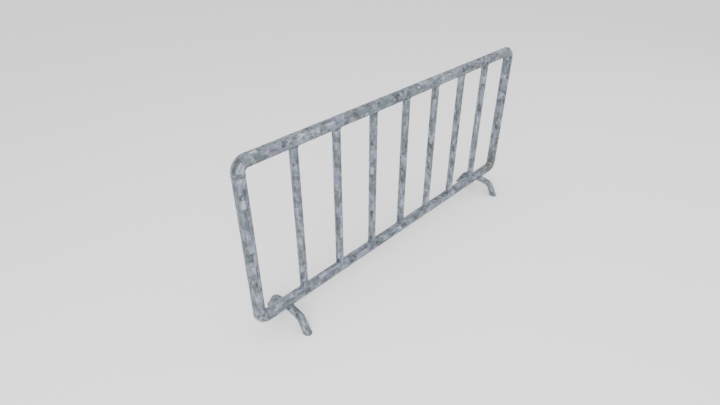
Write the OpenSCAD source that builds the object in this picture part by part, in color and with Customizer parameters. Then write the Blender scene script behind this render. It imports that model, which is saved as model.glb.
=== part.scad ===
// Steel pedestrian barrier with two bridge feet.
// Origin: on the ground, midway along and across the barrier. +X runs along it, +Z is up.

/* [Frame] */
// Overall length of the barrier
frame_length = 2300; // [1500:10:3000]
// Height of the frame, from the underside of the bottom rail to the top of the top rail
frame_height = 966; // [700:2:1200]
// Outside diameter of the frame tube
frame_od = 63.5; // [50:0.5:76]
// Wall thickness of the frame tube
frame_wall = 2; // [1.5:0.1:4]
// Bend radius of the corner elbows, to the middle of the tube
elbow_r = 45; // [44:1:90]
// Straight end on each elbow, before its butt weld
elbow_tangent = 10; // [8:1:30]

/* [Bars] */
// Number of upright bars
bar_count = 7; // [5:1:9]
// Outside diameter of a bar
bar_od = 44.5; // [30:0.5:48]
// Wall thickness of a bar
bar_wall = 1.5; // [1:0.1:3]
// Distance from the middle of a post to the middle of the nearest bar
end_bay = 301; // [240:1:360]

/* [Feet] */
// Outside diameter of the foot tube
foot_od = 44.5; // [34:0.5:50]
// Wall thickness of the foot tube
foot_wall = 2; // [1.5:0.1:3]
// Distance from the middle of a post to the middle of its foot
foot_inset = 177; // [120:1:190]
// Depth of the foot's middle line below the middle of the bottom rail, where they cross
foot_drop = 30.5; // [24:0.5:36]
// Radius of the arched crown of the foot, to the middle of the tube
crown_r = 360; // [300:5:450]
// Sweep of the crown on each side of the rail
crown_sweep = 14; // [10:0.5:15]
// Bend radius between the crown and a leg, to the middle of the tube
foot_bend_r = 48; // [40:1:60]
// Slope of a leg below level
leg_slope = 60; // [50:1:68]
// Swell of the tube's radius where it is bent
bend_swell = 0.05; // [0.03:0.01:0.2]
// Height of the bottom rail's middle above the ground
rail_height = 127; // [110:1:170]
// Thickness of the plate that closes the end of a leg
pad_t = 3; // [2:0.5:6]

/* [Welds and vents] */
// Leg length of a fillet weld
fillet_leg = 5; // [3:0.5:7]
// Height of the butt weld bead above the tube
butt_rise = 1.5; // [1:0.1:2.5]
// Radius of the butt weld bead's section
butt_r = 4; // [3:0.5:6]
// Height of the weld bead round an end pad
pad_weld_rise = 1.2; // [0.8:0.1:2]
// Diameter of the zinc vent hole in a rail under each bar end
vent_d = 14; // [8:1:20]

/* [Hidden] */
$fn = 96;
BARS = [for (i = [1:bar_count]) i];
SIDES = ["left", "right"];
HEIGHTS = ["top", "bottom"];

frame_r = frame_od / 2;
bar_r = bar_od / 2;
foot_r = foot_od / 2;
post_x = frame_length / 2 - frame_r;
bottom_z = rail_height;
top_z = rail_height + frame_height - frame_od;
corner_setback = elbow_r + elbow_tangent;
rail_length = 2 * (post_x - corner_setback);
post_length = top_z - bottom_z - 2 * corner_setback;
mid_z = (bottom_z + top_z) / 2;
first_bar_x = -post_x + end_bay;
bar_pitch = 2 * (post_x - end_bay) / (bar_count - 1);
foot_x = post_x - foot_inset;

// Middle line of a foot, outwards from the rail: crown, bend, then a straight leg
crown_end_y = crown_r * sin(crown_sweep);
crown_end_z = bottom_z - foot_drop - crown_r * (1 - cos(crown_sweep));
leg_start_y = crown_end_y + foot_bend_r * (sin(leg_slope) - sin(crown_sweep));
leg_start_z = crown_end_z - foot_bend_r * (cos(crown_sweep) - cos(leg_slope));
leg_end_y = leg_start_y + leg_start_z / tan(leg_slope);
leg_length = leg_start_z / sin(leg_slope);
// Extra tube below the ground line, so that the level cut takes the whole section
leg_spare = 2 * foot_r;
// Overrun of a cut past the face that it goes through
cut = 1;
// Sweep past each end of a bend, before it is trimmed
trim_sweep = 8;
// Side of a block larger than a foot
space = 4 * crown_r;

function bar_x(i) = first_bar_x + (i - 1) * bar_pitch;
function side_sign(side) = side == "left" ? -1 : 1;
function height_sign(height) = height == "top" ? 1 : -1;

module zinc() { color([0.60, 0.63, 0.66]) children(); }
module weld_zinc() { color([0.52, 0.55, 0.58]) children(); }

// A length of tube along +Z, middled on the origin
module tube(od, wall, length) {
    difference() {
        cylinder(d = od, h = length, center = true);
        cylinder(d = od - 2 * wall, h = length + 2 * cut, center = true);
    }
}

// A solid round along X through a rail's middle line
module rail_core(z, r, length) {
    translate([0, 0, z]) rotate([0, 90, 0]) cylinder(r = r, h = length, center = true);
}

// A vent hole through one wall of a rail, on its upper side (+1) or its underside (-1)
module vent(x, z, side) {
    translate([x, 0, z + side * frame_r / 2])
        cylinder(d = vent_d, h = frame_r + 2 * cut, center = true);
}

module rail_tube(z) {
    translate([0, 0, z]) rotate([0, 90, 0]) tube(frame_od, frame_wall, rail_length);
}

module top_rail() {
    difference() {
        rail_tube(top_z);
        for (i = BARS) vent(bar_x(i), top_z, -1);
    }
}

module bottom_rail() {
    difference() {
        rail_tube(bottom_z);
        for (i = BARS) vent(bar_x(i), bottom_z, 1);
        for (side = [-1, 1]) vent(side * foot_x, bottom_z, -1);
    }
}

module post(side) {
    translate([side * post_x, 0, mid_z]) tube(frame_od, frame_wall, post_length);
}

// One elbow with its bend centre at the origin, from +X round to +Z, with straight ends
module elbow_core(r, straight) {
    rotate([90, 0, 0]) rotate_extrude(angle = 90) translate([elbow_r, 0]) circle(r = r);
    translate([elbow_r, 0, -straight]) cylinder(r = r, h = straight);
    translate([-straight, 0, elbow_r]) rotate([0, 90, 0]) cylinder(r = r, h = straight);
}

module elbow(side, top) {
    inset_x = side * (post_x - elbow_r);
    inset_z = top > 0 ? top_z - elbow_r : bottom_z + elbow_r;
    translate([inset_x, 0, inset_z])
        mirror([side < 0 ? 1 : 0, 0, 0])
            mirror([0, 0, top < 0 ? 1 : 0])
                difference() {
                    elbow_core(frame_r, elbow_tangent);
                    elbow_core(frame_r - frame_wall, elbow_tangent + cut);
                }
}

module bar(i) {
    difference() {
        translate([bar_x(i), 0, mid_z]) tube(bar_od, bar_wall, top_z - bottom_z);
        for (z = [bottom_z, top_z]) rail_core(z, frame_r, rail_length);
    }
}

// A round section, solid or with a bore
module section(r, bore_r) {
    difference() {
        circle(r = r);
        if (bore_r > 0) circle(r = bore_r);
    }
}

// Half of all space, on the +Y side of the plane through the X axis at a sweep from +Z
module beyond(sweep) {
    rotate([-sweep, 0, 0])
        translate([-space / 2, 0, -space / 2]) cube([space, space, space]);
}

// A section bent round the X axis at radius bend_r, from +Z towards +Y by a sweep. It is
// swept too far and trimmed, so its end lies exactly where the next length starts.
module bend(bend_r, sweep, r, bore_r) {
    difference() {
        intersection() {
            rotate([0, -90, 0])
                rotate_extrude(start = -trim_sweep, angle = 2 * trim_sweep + 90)
                    translate([bend_r, 0])
                        section(r + bend_swell, bore_r > 0 ? bore_r + bend_swell : 0);
            beyond(0);
        }
        beyond(sweep);
    }
}

// The bend and the leg on the +Y side, to below the ground
module leg_sweep(r, bore_r) {
    rotate([-crown_sweep, 0, 0])
        translate([0, 0, crown_r - foot_bend_r]) {
            bend(foot_bend_r, leg_slope - crown_sweep, r, bore_r);
            rotate([crown_sweep - leg_slope, 0, 0])
                translate([0, 0, foot_bend_r])
                    rotate([-90, 0, 0])
                        linear_extrude(leg_length + leg_spare) section(r, bore_r);
        }
}

// The section swept over the crown of a foot and down both legs
module foot_sweep(r, bore_r = 0) {
    translate([0, 0, bottom_z - foot_drop - crown_r]) {
        difference() {
            rotate([0, -90, 0])
                rotate_extrude(start = -crown_sweep - trim_sweep,
                               angle = 2 * (crown_sweep + trim_sweep))
                    translate([crown_r, 0]) section(r, bore_r);
            beyond(crown_sweep);
            mirror([0, 1, 0]) beyond(crown_sweep);
        }
        leg_sweep(r, bore_r);
        mirror([0, 1, 0]) leg_sweep(r, bore_r);
    }
}

// A slab of space that keeps what lies between two heights
module level_slab(low, high) {
    reach = 2 * (leg_end_y + foot_od);
    translate([-foot_od, -reach / 2, low]) cube([2 * foot_od, reach, high - low]);
}

module foot(side) {
    translate([side * foot_x, 0, 0])
        difference() {
            intersection() {
                foot_sweep(foot_r, foot_r - foot_wall);
                level_slab(pad_t, bottom_z);
            }
            rail_core(bottom_z, frame_r, 2 * foot_od);
        }
}

module foot_pads(side) {
    translate([side * foot_x, 0, 0])
        intersection() {
            foot_sweep(foot_r);
            level_slab(0, pad_t);
        }
}

// A butt weld bead round a tube that runs along +Z
module butt_bead(tube_r) {
    difference() {
        rotate_extrude() translate([tube_r + butt_rise - butt_r, 0]) circle(r = butt_r);
        cylinder(r = tube_r, h = 4 * butt_r, center = true);
    }
}

// The two butt welds of one elbow, to its rail and to its post
module corner_welds(side, top) {
    translate([side * rail_length / 2, 0, top > 0 ? top_z : bottom_z])
        rotate([0, 90, 0]) butt_bead(frame_r);
    translate([side * post_x, 0, mid_z + top * post_length / 2]) butt_bead(frame_r);
}

// The fillets where the bars meet the top rail (+1), from below, or the bottom rail (-1)
module bar_welds(top) {
    z = top > 0 ? top_z : bottom_z;
    for (i = BARS)
        translate([bar_x(i), 0, 0])
            difference() {
                intersection() {
                    translate([0, 0, z - top * frame_r])
                        cylinder(r = bar_r + fillet_leg, h = frame_od, center = true);
                    rail_core(z, frame_r + fillet_leg, 2 * bar_od);
                    translate([-bar_od, -bar_od, top < 0 ? z : z - 2 * frame_od])
                        cube([2 * bar_od, 2 * bar_od, 2 * frame_od]);
                }
                rail_core(z, frame_r, 4 * bar_od);
                translate([0, 0, z]) cylinder(r = bar_r, h = 4 * frame_od, center = true);
            }
}

// The fillet where a foot cradles the rail
module foot_weld(side) {
    translate([side * foot_x, 0, 0])
        difference() {
            intersection() {
                foot_sweep(foot_r + fillet_leg);
                rail_core(bottom_z, frame_r + fillet_leg, 4 * foot_od);
                level_slab(0, bottom_z + fillet_leg);
            }
            foot_sweep(foot_r);
            rail_core(bottom_z, frame_r, 6 * foot_od);
        }
}

module pad_welds(side) {
    translate([side * foot_x, 0, 0])
        difference() {
            intersection() {
                foot_sweep(foot_r + pad_weld_rise);
                level_slab(pad_t / 2, pad_t * 3 / 2);
            }
            foot_sweep(foot_r);
        }
}

zinc() top_rail();
zinc() bottom_rail();
zinc() post(-1);  // left_post
zinc() post(1);  // right_post
for (h = HEIGHTS, s = SIDES) {
    corner = str(h, "_", s);
    zinc() elbow(side_sign(s), height_sign(h));
    weld_zinc() corner_welds(side_sign(s), height_sign(h));
}
for (i = BARS) zinc() bar(i);
for (s = SIDES) {
    zinc() foot(side_sign(s));
    zinc() foot_pads(side_sign(s));
    weld_zinc() foot_weld(side_sign(s));
    weld_zinc() pad_welds(side_sign(s));
}
for (h = HEIGHTS)
    weld_zinc() bar_welds(height_sign(h));
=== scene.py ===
"""Galvanised steel pedestrian barrier: smooth tubes, coped bars, bridge feet and weld beads."""
import math
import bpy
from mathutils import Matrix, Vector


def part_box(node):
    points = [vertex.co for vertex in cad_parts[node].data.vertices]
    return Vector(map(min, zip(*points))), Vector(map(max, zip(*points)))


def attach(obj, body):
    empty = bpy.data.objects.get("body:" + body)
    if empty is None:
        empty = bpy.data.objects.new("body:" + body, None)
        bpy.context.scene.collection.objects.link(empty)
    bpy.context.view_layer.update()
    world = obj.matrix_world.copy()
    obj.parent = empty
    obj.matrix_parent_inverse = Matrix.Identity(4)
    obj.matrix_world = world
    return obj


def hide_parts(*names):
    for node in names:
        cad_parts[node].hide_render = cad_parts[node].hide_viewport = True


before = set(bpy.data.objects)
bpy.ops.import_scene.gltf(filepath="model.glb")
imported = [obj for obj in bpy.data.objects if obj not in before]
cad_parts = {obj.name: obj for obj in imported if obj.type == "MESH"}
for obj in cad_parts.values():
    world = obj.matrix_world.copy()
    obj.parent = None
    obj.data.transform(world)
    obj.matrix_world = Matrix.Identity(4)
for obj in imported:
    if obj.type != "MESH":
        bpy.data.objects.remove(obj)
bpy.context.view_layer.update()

from types import SimpleNamespace

import bpy
from mathutils import Vector

MM = 0.001

# ---- Sizes read from the frame -------------------------------------------------------

X, Z = 0, 2


def middle(node, axis):
    """Halfway between a node's lowest and highest place along an axis."""
    low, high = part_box(node)
    return (low[axis] + high[axis]) / 2


def extent(node, axis):
    """A node's whole size along an axis."""
    low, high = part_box(node)
    return high[axis] - low[axis]


BODY = "root"
BARS = sorted(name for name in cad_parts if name.startswith("bar_"))
FRAME_R = extent("left_post", X) / 2
BAR_R = extent(BARS[0], X) / 2
FOOT_R = extent("left_foot_pads", X) / 2
POST_X = middle("right_post", X)
BOTTOM_Z = middle("bottom_rail", Z)
TOP_Z = middle("top_rail", Z)
RAIL_END_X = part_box("top_rail")[1][X]
POST_LOW_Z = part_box("left_post")[0][Z]
POST_HIGH_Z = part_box("left_post")[1][Z]
FIRST_BAR_X = middle(BARS[0], X)
BAR_PITCH = (middle(BARS[-1], X) - FIRST_BAR_X) / (len(BARS) - 1)
FOOT_X = middle("right_foot", X)
PAD_T = extent("left_foot_pads", Z)
SIDES = [("left", -1), ("right", 1)]
HEIGHTS = [("top", 1), ("bottom", -1)]
CORNERS = [(side_name, side, height_name, up) for height_name, up in HEIGHTS for side_name, side in SIDES]

# ---- Sizes of the bends, beads and coat, as designed ---------------------------------

ELBOW_BEND = 45 * MM
FOOT_DROP = 30.5 * MM    # from the bottom rail's middle line down to the foot's
CROWN_BEND = 360 * MM
CROWN_SWEEP = math.radians(14)
LEG_BEND = 48 * MM
LEG_SLOPE = math.radians(60)
PAD_LONG_R = FOOT_R / math.sin(LEG_SLOPE)
PAD_EDGE = 0.6 * MM      # worn edge of a pad at the ground
FILLET_BEAD_R = 4.2 * MM
BUTT_BEAD_R = 4 * MM
BUTT_BEAD_RISE = 1.5 * MM
PAD_BEAD_R = 1.9 * MM
RIPPLE_PITCH = 4.6 * MM
RIPPLE_DEPTH = 0.16      # share of its radius that a bead loses along each ripple
BEAD_WANDER = 0.5 * MM
PAD_BEAD_WANDER = 0.2 * MM
WANDER_SCALE = 70.0      # size of the wandering, as a noise scale
SKIN_DEPTH = 1.0 * MM    # full range of the coat's unevenness, in and out together
SKIN_SCALE = 22.0        # size of that unevenness, as a noise scale

# ---- How finely the pieces are meshed ------------------------------------------------

TUBE_SIDES = 96
BEAD_SIDES = 12
PAD_SIDES = 72
SEAM_POINTS = 96
RIPPLE_POINTS = 5.0      # rings along each ripple of a bead
SKIN_STEP = 15 * MM      # spacing of the rings along a straight tube
ELBOW_STEPS = 24
CROWN_STEPS = 28
LEG_BEND_STEPS = 24
LEG_STEPS = 4
SADDLE_ROUNDS = 8        # repeats that settle where a saddle seam lies
SHARP_EDGE = math.radians(50)
SHARP_PAD_EDGE = math.radians(40)

# ---- Where the pieces lie in the pattern of the zinc ---------------------------------

PATTERN = "tube_place"
PIECE_STEP = 3.7         # metres of pattern between one tube and the next
ELBOW_START = 4.3        # place of the first elbow, in piece steps
FOOT_START = 22.3        # middle of the two feet's places, in piece steps
COLUMN_STEP = 37.7       # crystals between one column of them and the next
SHIFT_PARTS = (1.0, 0.7, 1.3)    # direction in which the noises are moved apart
WOBBLE = (5 * MM, 5 * MM, 8 * MM)    # how far the edges of the crystals stray
GRIME_REACH = 160 * MM   # height above the bottom rail's middle where grime ends


def linear(red, green, blue):
    """A shader colour from display values of 0 to 255."""
    def one(v):
        v /= 255
        return v / 12.92 if v <= 0.04045 else ((v + 0.055) / 1.055) ** 2.4
    return (one(red), one(green), one(blue), 1.0)


def grey(level):
    return (level, level, level, 1.0)


ZINC_TONES = [(0.08, linear(52, 58, 64)), (0.34, linear(87, 94, 102)), (0.52, linear(109, 116, 125)),
              (0.68, linear(126, 133, 143)), (0.92, linear(158, 164, 178))]
LAVENDER = linear(130, 133, 159)
GREEN_GREY = linear(98, 112, 116)
STAIN = linear(66, 68, 67)
GRIME = linear(84, 84, 62)
PALE_FLOOR = linear(250, 250, 250)

# ---- Small helpers for node trees ----------------------------------------------------


class Tree:
    """Adds nodes to a tree and links them, one call a node."""

    def __init__(self, tree):
        self.tree = tree

    def add(self, kind, settings=None, **inputs):
        node = self.tree.nodes.new(kind)
        for name, value in (settings or {}).items():
            setattr(node, name, value)
        for name, value in inputs.items():
            self.feed(node.inputs[name.replace("_", " ")], value)
        return node

    def feed(self, socket, value):
        if isinstance(value, bpy.types.NodeSocket):
            self.tree.links.new(value, socket)
        else:
            socket.default_value = value

    def math(self, operation, a, b=None):
        node = self.add("ShaderNodeMath", {"operation": operation})
        self.feed(node.inputs[0], a)
        if b is not None:
            self.feed(node.inputs[1], b)
        return node.outputs[0]

    def vector(self, operation, a, b):
        node = self.add("ShaderNodeVectorMath", {"operation": operation})
        self.feed(node.inputs[0], a)
        self.feed(node.inputs[1], b)
        return node.outputs[0]

    def scale(self, vector, factor):
        node = self.add("ShaderNodeVectorMath", {"operation": "SCALE"}, Scale=factor)
        self.feed(node.inputs[0], vector)
        return node.outputs[0]

    def split(self, vector):
        return self.add("ShaderNodeSeparateXYZ", Vector=vector).outputs

    def position(self):
        return self.add("GeometryNodeInputPosition").outputs[0]


SOCKETS = {float: "NodeSocketFloat", int: "NodeSocketInt"}


def geometry_tree(name, **defaults):
    """A geometry tree with named inputs. Returns its helper, its inputs and its output node."""
    tree = bpy.data.node_groups.new(name, "GeometryNodeTree")
    tree.interface.new_socket("Geometry", in_out="INPUT", socket_type="NodeSocketGeometry")
    for key, value in defaults.items():
        socket = tree.interface.new_socket(key, in_out="INPUT", socket_type=SOCKETS[type(value)])
        socket.default_value = value
    tree.interface.new_socket("Surface", in_out="INPUT", socket_type="NodeSocketMaterial")
    tree.interface.new_socket("Geometry", in_out="OUTPUT", socket_type="NodeSocketGeometry")
    helper = Tree(tree)
    inputs = tree.nodes.new("NodeGroupInput").outputs
    output = tree.nodes.new("NodeGroupOutput")
    return helper, inputs, output


def finish_tree(t, inputs, output, geometry, place):
    """Stores each point's place in the pattern, then smooths, realizes and gives the material."""
    stored = t.add("GeometryNodeStoreNamedAttribute", {"data_type": "FLOAT_VECTOR", "domain": "POINT"},
                   Geometry=geometry, Name=PATTERN, Value=place)
    smooth = t.add("GeometryNodeSetShadeSmooth", Geometry=stored.outputs[0])
    real = t.add("GeometryNodeRealizeInstances", Geometry=smooth.outputs[0])
    done = t.add("GeometryNodeSetMaterial", Geometry=real.outputs[0], Material=inputs["Surface"])
    t.feed(output.inputs[0], done.outputs[0])
    return t.tree


def uneven_skin(t, mesh, depth):
    """Moves a mesh's skin in and out by a fraction of a millimetre, as a dipped coat lies."""
    noise = t.add("ShaderNodeTexNoise", {"noise_dimensions": "3D"}, Scale=SKIN_SCALE, Detail=1.0)
    about_middle = t.math("SUBTRACT", noise.outputs["Fac"], 0.5)
    outward = t.add("GeometryNodeInputNormal").outputs[0]
    offset = t.scale(outward, t.math("MULTIPLY", about_middle, depth))
    return t.add("GeometryNodeSetPosition", Geometry=mesh, Offset=offset).outputs[0]


# ---- Geometry trees ------------------------------------------------------------------


def tube_tree():
    """A round tube swept along each path of the mesh that it is given."""
    t, inputs, output = geometry_tree("tube_along_path", Radius=0.03, Sides=TUBE_SIDES, Start=0.0,
                                      Skin_Depth=0.0)
    curve = t.add("GeometryNodeMeshToCurve", Mesh=inputs["Geometry"])
    along = t.add("GeometryNodeCaptureAttribute", Geometry=curve.outputs[0])
    along.capture_items.new("FLOAT", "Length")
    t.feed(along.inputs["Length"], t.add("GeometryNodeSplineParameter").outputs["Length"])
    ring = t.add("GeometryNodeCurvePrimitiveCircle", Resolution=inputs["Sides"], Radius=inputs["Radius"])
    across = t.add("GeometryNodeCaptureAttribute", Geometry=ring.outputs[0])
    across.capture_items.new("VECTOR", "Place")
    t.feed(across.inputs["Place"], t.position())
    tube = t.add("GeometryNodeCurveToMesh", Curve=along.outputs["Geometry"],
                 Profile_Curve=across.outputs["Geometry"], Fill_Caps=True)
    lengthwise = t.add("ShaderNodeCombineXYZ", Z=t.math("ADD", along.outputs["Length"], inputs["Start"]))
    place = t.vector("ADD", across.outputs["Place"], lengthwise.outputs[0])
    skin = uneven_skin(t, tube.outputs[0], inputs["Skin_Depth"])
    return finish_tree(t, inputs, output, skin, place)


def cope(t, inputs, bar):
    """Lengthens a bar of height 1 until both of its ends lie on the rails' round walls."""
    at = t.split(t.position())
    squared = t.math("SUBTRACT", t.math("MULTIPLY", inputs["Rail_Radius"], inputs["Rail_Radius"]),
                     t.math("MULTIPLY", at["Y"], at["Y"]))
    rise = t.math("SQRT", squared)
    low = t.math("ADD", inputs["Bottom_Z"], rise)
    high = t.math("SUBTRACT", inputs["Top_Z"], rise)
    share = t.math("ADD", at["Z"], 0.5)
    height = t.math("ADD", low, t.math("MULTIPLY", share, t.math("SUBTRACT", high, low)))
    where = t.add("ShaderNodeCombineXYZ", X=at["X"], Y=at["Y"], Z=height)
    return t.add("GeometryNodeSetPosition", Geometry=bar, Position=where.outputs[0]).outputs[0]


def place_on_own_bar(t, inputs):
    """A point's place about its own bar's middle line, each bar in its own part of the pattern."""
    at = t.split(t.position())
    from_first = t.math("SUBTRACT", at["X"], inputs["First_X"])
    number = t.math("ROUND", t.math("DIVIDE", from_first, inputs["Pitch"]))
    across = t.math("SUBTRACT", from_first, t.math("MULTIPLY", number, inputs["Pitch"]))
    along = t.math("ADD", at["Z"], t.math("MULTIPLY", number, PIECE_STEP))
    return t.add("ShaderNodeCombineXYZ", X=across, Y=at["Y"], Z=along).outputs[0]


def coped_bars_tree():
    """Evenly spaced upright bars, whose ends are cut to the curve of the rails they meet."""
    t, inputs, output = geometry_tree(
        "coped_bars", Count=7, First_X=0.0, Pitch=0.1, Bar_Radius=0.02, Rail_Radius=0.03,
        Bottom_Z=0.1, Top_Z=1.0, Sides=TUBE_SIDES, Rings=24, Skin_Depth=0.0)
    bar = t.add("GeometryNodeMeshCylinder", {"fill_type": "TRIANGLE_FAN"}, Vertices=inputs["Sides"],
                Side_Segments=inputs["Rings"], Fill_Segments=1, Radius=inputs["Bar_Radius"], Depth=1.0)
    start = t.add("ShaderNodeCombineXYZ", X=inputs["First_X"])
    step = t.add("ShaderNodeCombineXYZ", X=inputs["Pitch"])
    row = t.add("GeometryNodeMeshLine", Count=inputs["Count"], Start_Location=start.outputs[0],
                Offset=step.outputs[0])
    placed = t.add("GeometryNodeInstanceOnPoints", Points=row.outputs[0],
                   Instance=cope(t, inputs, bar.outputs["Mesh"]))
    real = t.add("GeometryNodeRealizeInstances", Geometry=placed.outputs[0])
    skin = uneven_skin(t, real.outputs[0], inputs["Skin_Depth"])
    return finish_tree(t, inputs, output, skin, place_on_own_bar(t, inputs))


def bead_tree():
    """A weld bead along each seam, laid as overlapping crescents that wander a little."""
    t, inputs, output = geometry_tree(
        "weld_bead", Bead_Radius=0.004, Pitch=RIPPLE_PITCH, Depth=RIPPLE_DEPTH, Wander=BEAD_WANDER,
        Sides=BEAD_SIDES)
    curve = t.add("GeometryNodeMeshToCurve", Mesh=inputs["Geometry"])
    fine = t.add("GeometryNodeResampleCurve", {"mode": "LENGTH"}, Curve=curve.outputs[0],
                 Length=t.math("DIVIDE", inputs["Pitch"], RIPPLE_POINTS))
    length = t.add("GeometryNodeSplineParameter").outputs["Length"]
    phase = t.math("FRACT", t.math("DIVIDE", length, inputs["Pitch"]))
    fall = t.math("MULTIPLY", inputs["Depth"], t.math("MULTIPLY", phase, phase))
    ring = t.add("GeometryNodeCurvePrimitiveCircle", Resolution=inputs["Sides"],
                 Radius=inputs["Bead_Radius"])
    bead = t.add("GeometryNodeCurveToMesh", Curve=fine.outputs[0], Profile_Curve=ring.outputs[0],
                 Scale=t.math("SUBTRACT", 1.0, fall))
    noise = t.add("ShaderNodeTexNoise", {"noise_dimensions": "3D"}, Scale=WANDER_SCALE, Detail=1.0)
    centred = t.vector("SUBTRACT", noise.outputs["Color"], (0.5, 0.5, 0.5))
    moved = t.add("GeometryNodeSetPosition", Geometry=bead.outputs[0],
                  Offset=t.scale(centred, inputs["Wander"]))
    # Beads take the pattern at their own place in the barrier, not along a tube
    return finish_tree(t, inputs, output, moved.outputs[0], t.position())


# ---- Making pieces -------------------------------------------------------------------


def add_object(name, data):
    made = bpy.data.objects.new(name, data)
    bpy.context.collection.objects.link(made)
    return made


def path_object(name, paths, closed):
    """An object whose mesh is only points and edges, one chain for each path."""
    points, edges = [], []
    for path in paths:
        first = len(points)
        points += [tuple(p) for p in path]
        edges += [(first + i, first + i + 1) for i in range(len(path) - 1)]
        if closed:
            edges.append((len(points) - 1, first))
    mesh = bpy.data.meshes.new(name)
    mesh.from_pydata(points, edges, [])
    return add_object(name, mesh)


def make(name, tree, material, paths=(), closed=False, **values):
    """Runs a geometry tree on some paths and returns its result as a plain mesh piece."""
    source = path_object(name + "_path", paths, closed)
    modifier = source.modifiers.new("make", "NODES")
    modifier.node_group = tree
    values["Surface"] = material
    for item in tree.interface.items_tree:
        if item.in_out == "INPUT" and item.name in values:
            modifier[item.identifier] = values[item.name]
    graph = bpy.context.evaluated_depsgraph_get()
    mesh = bpy.data.meshes.new_from_object(source.evaluated_get(graph))
    bpy.data.objects.remove(source)
    mesh.name = name
    mesh.set_sharp_from_angle(angle=SHARP_EDGE)
    return add_object(name, mesh)


def stand_for(piece, slot, *nodes):
    """Puts a piece on the one body, in place of its CAD nodes."""
    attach(piece, BODY)
    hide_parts(*nodes)


# ---- Zinc ----------------------------------------------------------------------------


def blend_colours(t, share, a, b):
    """Colour a where the share is 0, and b where it is 1. The node's colour sockets share their
    names with its number sockets, so they are taken by their places."""
    node = t.add("ShaderNodeMix", {"data_type": "RGBA", "blend_type": "MIX", "clamp_factor": True})
    t.feed(node.inputs["Factor"], share)
    t.feed(node.inputs[6], a)
    t.feed(node.inputs[7], b)
    return node.outputs[2]


def ramp(t, value, stops):
    node = t.add("ShaderNodeValToRGB", Fac=value)
    while len(node.color_ramp.elements) < len(stops):
        node.color_ramp.elements.new(0.5)
    for element, (position, colour) in zip(node.color_ramp.elements, stops):
        element.position = position
        element.color = colour
    return node.outputs["Color"]


def weigh(t, *terms):
    """Adds up value * weight, each value taken about its middle, round a middle of 0.5."""
    total = 0.5
    for value, weight in terms:
        about_middle = t.math("SUBTRACT", value, 0.5)
        total = t.math("ADD", t.math("MULTIPLY", about_middle, weight), total)
    return total


def drawn_noise(t, place, across, along, shift, detail):
    """Noise with one scale across a tube and another along it. The shift keeps patterns apart."""
    node = t.add("ShaderNodeMapping", Vector=place)
    node.inputs["Scale"].default_value = (across, across, along)
    node.inputs["Location"].default_value = tuple(shift * part for part in SHIFT_PARTS)
    return t.add("ShaderNodeTexNoise", Vector=node.outputs[0], Scale=1.0, Detail=detail).outputs["Fac"]


def ragged_place(t, place):
    """The place moved a few millimetres by fine noise, so that crystals get ragged edges."""
    wobble = t.add("ShaderNodeTexNoise", Vector=place, Scale=110.0, Detail=3.0)
    moved = t.add("ShaderNodeVectorMath", {"operation": "MULTIPLY_ADD"})
    t.feed(moved.inputs[0], wobble.outputs["Color"])
    t.feed(moved.inputs[1], WOBBLE)
    t.feed(moved.inputs[2], place)
    return moved.outputs[0]


def crystals(t, place, columns, length, start):
    """Oblong zinc crystals in columns round a tube, as three random values for each crystal."""
    at = t.split(place)
    angle = t.math("ARCTAN2", at["Y"], at["X"])
    column = t.math("FLOOR", t.math("MULTIPLY", angle, columns / math.tau))
    along = t.math("ADD", t.math("DIVIDE", at["Z"], length), start)
    along = t.math("ADD", along, t.math("MULTIPLY", column, COLUMN_STEP))
    node = t.add("ShaderNodeTexVoronoi", {"voronoi_dimensions": "1D"}, W=along, Scale=1.0,
                 Randomness=1.0)
    return t.add("ShaderNodeSeparateColor", Color=node.outputs["Color"]).outputs


def spangle(t, columns):
    """The patterns that the colour and the relief of the zinc share."""
    place = t.add("ShaderNodeAttribute", {"attribute_name": PATTERN}).outputs["Vector"]
    ragged = ragged_place(t, place)
    return SimpleNamespace(
        large=crystals(t, ragged, columns, length=46 * MM, start=0.3),
        middling=crystals(t, ragged, 2 * columns - 1, length=22 * MM, start=13.1),
        small=crystals(t, ragged, 3 * columns + 1, length=11 * MM, start=25.7),
        cloud=drawn_noise(t, place, across=16, along=8, shift=7.7, detail=4.0),
        streak=drawn_noise(t, ragged, across=130, along=16, shift=1.9, detail=3.0),
        drift=drawn_noise(t, place, across=12, along=6, shift=21.3, detail=2.0),
        stain=drawn_noise(t, ragged, across=30, along=15, shift=12.3, detail=3.0))


def zinc_colour(t, p):
    level = weigh(t, (p.large[0], 0.49), (p.middling[0], 0.38), (p.small[0], 0.20), (p.cloud, 0.40),
                  (p.streak, 0.65))
    shade = ramp(t, level, ZINC_TONES)
    # Some crystals lean to lavender, others to green-grey
    lean = weigh(t, (p.drift, 1.3), (p.large[1], 0.45), (p.middling[2], 0.35))
    to_lavender = ramp(t, lean, [(0.55, grey(0)), (0.85, grey(0.50))])
    shade = blend_colours(t, to_lavender, shade, LAVENDER)
    to_green = ramp(t, lean, [(0.18, grey(0.60)), (0.48, grey(0))])
    shade = blend_colours(t, to_green, shade, GREEN_GREY)
    # Dark stains, held by single crystals
    spots = weigh(t, (p.stain, 0.8), (p.large[2], 0.26), (p.middling[1], 0.34))
    stained = ramp(t, spots, [(0.60, grey(0)), (0.67, grey(0.60))])
    return blend_colours(t, stained, shade, STAIN)


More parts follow.
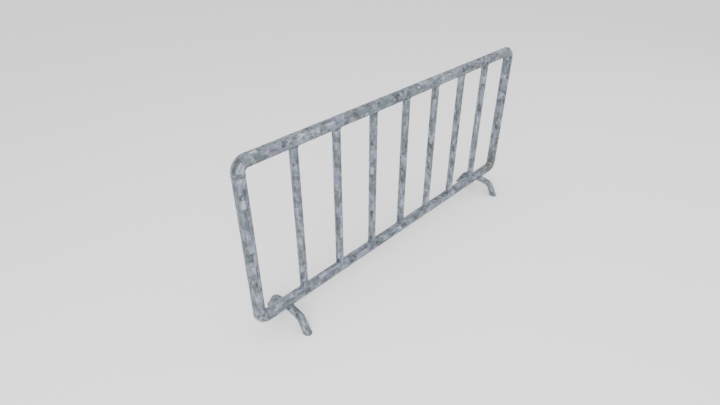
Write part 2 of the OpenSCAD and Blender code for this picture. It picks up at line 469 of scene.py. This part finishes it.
def add_grime(t, shade, amount):
    """Green-brown grime that gathers low down at the right-hand end."""
    place = t.add("ShaderNodeTexCoord").outputs["Object"]
    at = t.split(place)
    from_foot = t.math("DIVIDE", t.math("SUBTRACT", at["X"], FOOT_X), POST_X - FOOT_X)
    from_top = t.math("DIVIDE", t.math("SUBTRACT", BOTTOM_Z + GRIME_REACH, at["Z"]), GRIME_REACH)
    along = t.add("ShaderNodeClamp", Value=from_foot).outputs[0]
    down = t.add("ShaderNodeClamp", Value=from_top).outputs[0]
    patches = t.add("ShaderNodeTexNoise", Vector=place, Scale=26.0, Detail=5.0)
    mottle = ramp(t, patches.outputs["Fac"], [(0.35, grey(0.35)), (0.6, grey(1))])
    share = t.math("MULTIPLY", t.math("MULTIPLY", along, down), mottle)
    return blend_colours(t, t.math("MULTIPLY", share, amount), shade, GRIME)


def zinc(name, columns, tone=1.0, grime=0.0):
    """Weathered hot-dip zinc: blocky spangle drawn out along the tube, stains and fine relief."""
    material = bpy.data.materials.new(name)
    material.use_nodes = True
    t = Tree(material.node_tree)
    shader = material.node_tree.nodes["Principled BSDF"]
    p = spangle(t, columns)

    shade = zinc_colour(t, p)
    if grime:
        shade = add_grime(t, shade, grime)
    toned = t.add("ShaderNodeHueSaturation", Color=shade, Value=tone)
    t.feed(shader.inputs["Base Color"], toned.outputs[0])

    rough = weigh(t, (p.middling[1], 0.16), (p.streak, 0.20))
    t.feed(shader.inputs["Roughness"], rough)
    shader.inputs["Metallic"].default_value = 0.35
    shader.inputs["Specular IOR Level"].default_value = 0.4

    relief = weigh(t, (p.middling[2], 0.5), (p.small[1], 0.3), (p.cloud, 1.0), (p.streak, 0.5))
    bump = t.add("ShaderNodeBump", Strength=0.45, Distance=0.6 * MM, Height=relief)
    t.feed(shader.inputs["Normal"], bump.outputs[0])
    return material


# ---- Frame tubes ---------------------------------------------------------------------


def arc(centre, radius, start, sweep, steps):
    """Flat points along an arc."""
    angles = [start + sweep * i / steps for i in range(steps + 1)]
    return [(centre[0] + radius * math.cos(a), centre[1] + radius * math.sin(a)) for a in angles]


def straight_path(start, end):
    """Evenly spaced points from one end of a straight tube to the other."""
    start, end = Vector(start), Vector(end)
    count = round((end - start).length / SKIN_STEP)
    return [start.lerp(end, i / count) for i in range(count + 1)]


def frame_tubes(tube, material):
    straight = {
        "top_rail": ((-RAIL_END_X, 0, TOP_Z), (RAIL_END_X, 0, TOP_Z)),
        "bottom_rail": ((-RAIL_END_X, 0, BOTTOM_Z), (RAIL_END_X, 0, BOTTOM_Z)),
        "left_post": ((-POST_X, 0, POST_LOW_Z), (-POST_X, 0, POST_HIGH_Z)),
        "right_post": ((POST_X, 0, POST_LOW_Z), (POST_X, 0, POST_HIGH_Z)),
    }
    for number, (name, ends) in enumerate(straight.items()):
        piece = make(name + "_tube", tube, material, [straight_path(*ends)], Radius=FRAME_R,
                     Start=PIECE_STEP * number, Skin_Depth=SKIN_DEPTH)
        stand_for(piece, "frame_zinc", name)


def corner_heights(up):
    """The height of the rail's middle line, and of the post's end, at the top or the bottom."""
    return (TOP_Z, POST_HIGH_Z) if up > 0 else (BOTTOM_Z, POST_LOW_Z)


def elbow_path(side, up):
    """From the rail's end, round the bend, to the post's end."""
    rail_z, post_end = corner_heights(up)
    centre_x = side * (POST_X - ELBOW_BEND)
    centre_z = rail_z - up * ELBOW_BEND
    bend = [(centre_x + side * u, 0, centre_z + up * v)
            for u, v in arc((0, 0), ELBOW_BEND, math.pi / 2, -math.pi / 2, ELBOW_STEPS)]
    return [(side * RAIL_END_X, 0, rail_z)] + bend + [(side * POST_X, 0, post_end)]


def elbows(tube, material):
    for number, (side_name, side, height_name, up) in enumerate(CORNERS):
        name = f"{height_name}_{side_name}_elbow"
        piece = make(name + "_bend", tube, material, [elbow_path(side, up)], Radius=FRAME_R,
                     Start=PIECE_STEP * (number + ELBOW_START), Skin_Depth=SKIN_DEPTH)
        stand_for(piece, "frame_zinc", name)


# ---- Bars ----------------------------------------------------------------------------


def upright_bars(tree, material):
    piece = make("upright_bars", tree, material, Count=len(BARS), First_X=FIRST_BAR_X,
                 Pitch=BAR_PITCH, Bar_Radius=BAR_R, Rail_Radius=FRAME_R, Bottom_Z=BOTTOM_Z,
                 Top_Z=TOP_Z, Rings=round((TOP_Z - BOTTOM_Z) / SKIN_STEP), Skin_Depth=SKIN_DEPTH)
    stand_for(piece, "bar_zinc", *BARS)


# ---- Feet ----------------------------------------------------------------------------


def half_foot_path():
    """The foot's middle line on the +Y side, as (y, z), from the crossing to the end pad."""
    crown_middle = (0, BOTTOM_Z - FOOT_DROP - CROWN_BEND)
    crown = arc(crown_middle, CROWN_BEND, math.pi / 2, -CROWN_SWEEP, CROWN_STEPS)
    toward = Vector((math.sin(CROWN_SWEEP), math.cos(CROWN_SWEEP)))
    bend_middle = Vector(crown_middle) + toward * (CROWN_BEND - LEG_BEND)
    bend = arc(bend_middle, LEG_BEND, math.pi / 2 - CROWN_SWEEP, CROWN_SWEEP - LEG_SLOPE,
               LEG_BEND_STEPS)
    start = Vector(bend[-1])
    run = (start.y - PAD_T) / math.sin(LEG_SLOPE)
    downhill = Vector((math.cos(LEG_SLOPE), -math.sin(LEG_SLOPE)))
    leg = [tuple(start + downhill * run * i / LEG_STEPS) for i in range(1, LEG_STEPS + 1)]
    return crown + bend[1:] + leg


def foot_path(x):
    half = half_foot_path()
    return [(x, -y, z) for y, z in reversed(half[1:])] + [(x, y, z) for y, z in half]


def level_ends(mesh, path):
    """Slides the points of both end rings along the leg, so that the ends are cut level."""
    reach, thickness = FOOT_R * 1.01, 0.01 * MM
    for end, before in ((path[0], path[1]), (path[-1], path[-2])):
        end = Vector(end)
        along = (end - Vector(before)).normalized()
        for vertex in mesh.vertices:
            away = vertex.co - end
            if away.length < reach and abs(away.dot(along)) < thickness:
                vertex.co += along * ((PAD_T - vertex.co.z) / along.z)


def cradle_rail(mesh):
    """Presses the foot's upper side down to the underside of the rail that it carries."""
    for vertex in mesh.vertices:
        if abs(vertex.co.y) < FRAME_R:
            under = BOTTOM_Z - math.sqrt(FRAME_R ** 2 - vertex.co.y ** 2)
            vertex.co.z = min(vertex.co.z, under)


def feet(tube, material):
    for side_name, side in SIDES:
        path = foot_path(side * FOOT_X)
        piece = make(side_name + "_foot_tube", tube, material, [path], Radius=FOOT_R,
                     Start=PIECE_STEP * (side + FOOT_START))
        level_ends(piece.data, path)
        cradle_rail(piece.data)
        stand_for(piece, "foot_zinc", side_name + "_foot")


# ---- End pads ------------------------------------------------------------------------


def turn(steps=SEAM_POINTS):
    """Evenly spaced angles once round."""
    return [math.tau * i / steps for i in range(steps)]


def pad_places(x):
    """Where each leg's middle line meets the top of its pad."""
    y, z = half_foot_path()[-1]
    return [Vector((x, side * y, z)) for side in (-1, 1)]


def pad_points(centre, rings):
    """Oval rings that go on down in line with the leg, each given as its height and inset."""
    lean = math.copysign(1 / math.tan(LEG_SLOPE), centre.y)
    points = []
    for height, inset in rings:
        middle_y = centre.y + (PAD_T - height) * lean
        points += [(centre.x + (FOOT_R - inset) * math.cos(a),
                    middle_y + (PAD_LONG_R - inset) * math.sin(a), height) for a in turn(PAD_SIDES)]
    return points


def shell_faces(first, rings, sides):
    """Walls between rings of points, from the top one down, and a lid on either end."""
    faces = []
    for r in range(rings - 1):
        for i in range(sides):
            a = first + r * sides + i
            b = first + r * sides + (i + 1) % sides
            faces.append((a, a + sides, b + sides, b))
    last = first + (rings - 1) * sides
    faces.append(tuple(first + i for i in range(sides)))
    faces.append(tuple(last + i for i in reversed(range(sides))))
    return faces


def store_place(mesh):
    place = mesh.attributes.new(PATTERN, "FLOAT_VECTOR", "POINT")
    for vertex in mesh.vertices:
        place.data[vertex.index].vector = vertex.co


def end_pads(material):
    """Level oval plates that close the legs, with a small worn edge at the ground."""
    rings = [(PAD_T, 0.0), (PAD_EDGE, 0.0), (0.25 * PAD_EDGE, 0.3 * PAD_EDGE), (0.0, PAD_EDGE)]
    for side_name, side in SIDES:
        points, faces = [], []
        for centre in pad_places(side * FOOT_X):
            faces += shell_faces(len(points), len(rings), PAD_SIDES)
            points += pad_points(centre, rings)
        mesh = bpy.data.meshes.new(side_name + "_end_pads")
        mesh.from_pydata(points, [], faces)
        mesh.materials.append(material)
        mesh.shade_smooth()
        mesh.set_sharp_from_angle(angle=SHARP_PAD_EDGE)
        store_place(mesh)
        piece = add_object(side_name + "_end_pads", mesh)
        stand_for(piece, "pad_zinc", side_name + "_foot_pads")


# ---- Weld beads ----------------------------------------------------------------------


def bar_seam(x, rail_z, facing):
    """The saddle line where a bar's wall meets a rail, on its upper (1) or lower (-1) side."""
    seam = []
    for a in turn():
        y = BAR_R * math.sin(a)
        seam.append((x + BAR_R * math.cos(a), y, rail_z + facing * math.sqrt(FRAME_R ** 2 - y ** 2)))
    return seam


def ring_seam(centre, radius, along_x):
    """A ring round a frame tube that runs along X, or else along Z."""
    cx, cz = centre
    if along_x:
        return [(cx, radius * math.cos(a), cz + radius * math.sin(a)) for a in turn()]
    return [(cx + radius * math.cos(a), radius * math.sin(a), cz) for a in turn()]


def saddle_seam(x):
    """The closed line where a foot's tube meets the bottom rail that lies in it."""
    lowest = math.asin((FOOT_DROP - FRAME_R) / FOOT_R)
    half, steps = [], SEAM_POINTS // 2
    for i in range(steps):
        a = lowest + (math.pi - 2 * lowest) * i / steps
        y = 0.0
        for _ in range(SADDLE_ROUNDS):
            crown = FOOT_DROP + y * y / (2 * CROWN_BEND)
            z = max(-FRAME_R, FOOT_R * math.sin(a) - crown)
            y = math.sqrt(max(0.0, FRAME_R ** 2 - z ** 2))
        half.append((FOOT_R * math.cos(a), y, z))
    front = [(x + u, -y, BOTTOM_Z + z) for u, y, z in half]
    back = [(x - u, y, BOTTOM_Z + z) for u, y, z in half]
    return front + back


def pad_seam(centre):
    return [(centre.x + FOOT_R * math.cos(a), centre.y + PAD_LONG_R * math.sin(a), PAD_T)
            for a in turn()]


def weld(piece_name, node, bead, material, seams, **values):
    piece = make(piece_name, bead, material, seams, closed=True, **values)
    stand_for(piece, "weld_zinc", node)


def bar_welds(bead, material):
    bar_x = [FIRST_BAR_X + i * BAR_PITCH for i in range(len(BARS))]
    for name, rail_z, facing in (("top_bar_welds", TOP_Z, -1), ("bottom_bar_welds", BOTTOM_Z, 1)):
        seams = [bar_seam(x, rail_z, facing) for x in bar_x]
        weld(name + "_beads", name, bead, material, seams, Bead_Radius=FILLET_BEAD_R)


def corner_welds(bead, material):
    ring_r = FRAME_R + BUTT_BEAD_RISE - BUTT_BEAD_R
    for side_name, side, height_name, up in CORNERS:
        rail_z, post_end = corner_heights(up)
        rings = [ring_seam((side * RAIL_END_X, rail_z), ring_r, along_x=True),
                 ring_seam((side * POST_X, post_end), ring_r, along_x=False)]
        corner = f"{height_name}_{side_name}_corner"
        weld(corner + "_beads", corner + "_welds", bead, material, rings, Bead_Radius=BUTT_BEAD_R)


def foot_welds(bead, material):
    for side_name, side in SIDES:
        weld(side_name + "_saddle_bead", side_name + "_foot_weld", bead, material,
             [saddle_seam(side * FOOT_X)], Bead_Radius=FILLET_BEAD_R)
        seams = [pad_seam(centre) for centre in pad_places(side * FOOT_X)]
        weld(side_name + "_pad_beads", side_name + "_pad_welds", bead, material, seams,
             Bead_Radius=PAD_BEAD_R, Wander=PAD_BEAD_WANDER)


# ---- Camera, floor and light ---------------------------------------------------------


def add_camera():
    """Looks down along the barrier from beyond its left front corner."""
    azimuth, elevation, distance = math.radians(-46.62), math.radians(33.11), 2.772
    target = Vector((-0.376, 0.0, 0.488))
    back = Vector((math.sin(azimuth) * math.cos(elevation),
                   -math.cos(azimuth) * math.cos(elevation), math.sin(elevation)))
    camera = add_object("camera", bpy.data.cameras.new("camera"))
    camera.location = target + back * distance
    camera.rotation_mode = "QUATERNION"
    camera.rotation_quaternion = (-back).to_track_quat("-Z", "Y")
    camera.data.sensor_width = 36
    camera.data.lens = 24.563
    bpy.context.scene.camera = camera


def floor_material():
    material = bpy.data.materials.new("pale_floor")
    material.use_nodes = True
    shader = material.node_tree.nodes["Principled BSDF"]
    shader.inputs["Base Color"].default_value = PALE_FLOOR
    shader.inputs["Roughness"].default_value = 0.9
    shader.inputs["Specular IOR Level"].default_value = 0.1
    return material


def add_floor():
    reach = 60
    mesh = bpy.data.meshes.new("floor")
    mesh.from_pydata([(-reach, -reach, 0), (reach, -reach, 0), (reach, reach, 0), (-reach, reach, 0)],
                     [], [(0, 1, 2, 3)])
    mesh.materials.append(floor_material())
    add_object("floor", mesh)


def add_light(name, place, size, power):
    """A round soft light that faces a point near the middle of the barrier."""
    light = bpy.data.lights.new(name, "AREA")
    light.shape = "DISK"
    light.size = size
    light.energy = power
    lamp = add_object(name, light)
    lamp.location = place
    aim = Vector((0, 0, 0.5)) - Vector(place)
    lamp.rotation_mode = "QUATERNION"
    lamp.rotation_quaternion = aim.to_track_quat("-Z", "Y")


def add_lights():
    world = bpy.data.worlds.new("pale_room")
    world.use_nodes = True
    sky = world.node_tree.nodes["Background"]
    sky.inputs["Color"].default_value = (1, 1, 1, 1)
    sky.inputs["Strength"].default_value = 1.32
    bpy.context.scene.world = world
    add_light("overhead_light", (0.0, -0.2, 4.6), size=4.0, power=60)
    add_light("key_light", (-3.9, -2.8, 3.3), size=4.0, power=250)
    add_light("fill_light", (4.0, -2.0, 3.5), size=5.0, power=40)


# ---- The barrier ---------------------------------------------------------------------

add_camera()
add_floor()
add_lights()

frame_zinc = zinc("frame_zinc", columns=8, grime=0.8)
bar_zinc = zinc("bar_zinc", columns=6)
foot_zinc = zinc("foot_zinc", columns=6, grime=0.4)
pad_zinc = zinc("pad_zinc", columns=6, tone=0.86)
weld_zinc = zinc("weld_zinc", columns=3, tone=0.92, grime=0.5)

tube = tube_tree()
frame_tubes(tube, frame_zinc)
elbows(tube, frame_zinc)
upright_bars(coped_bars_tree(), bar_zinc)
feet(tube, foot_zinc)
end_pads(pad_zinc)
bead = bead_tree()
bar_welds(bead, weld_zinc)
corner_welds(bead, weld_zinc)
foot_welds(bead, weld_zinc)
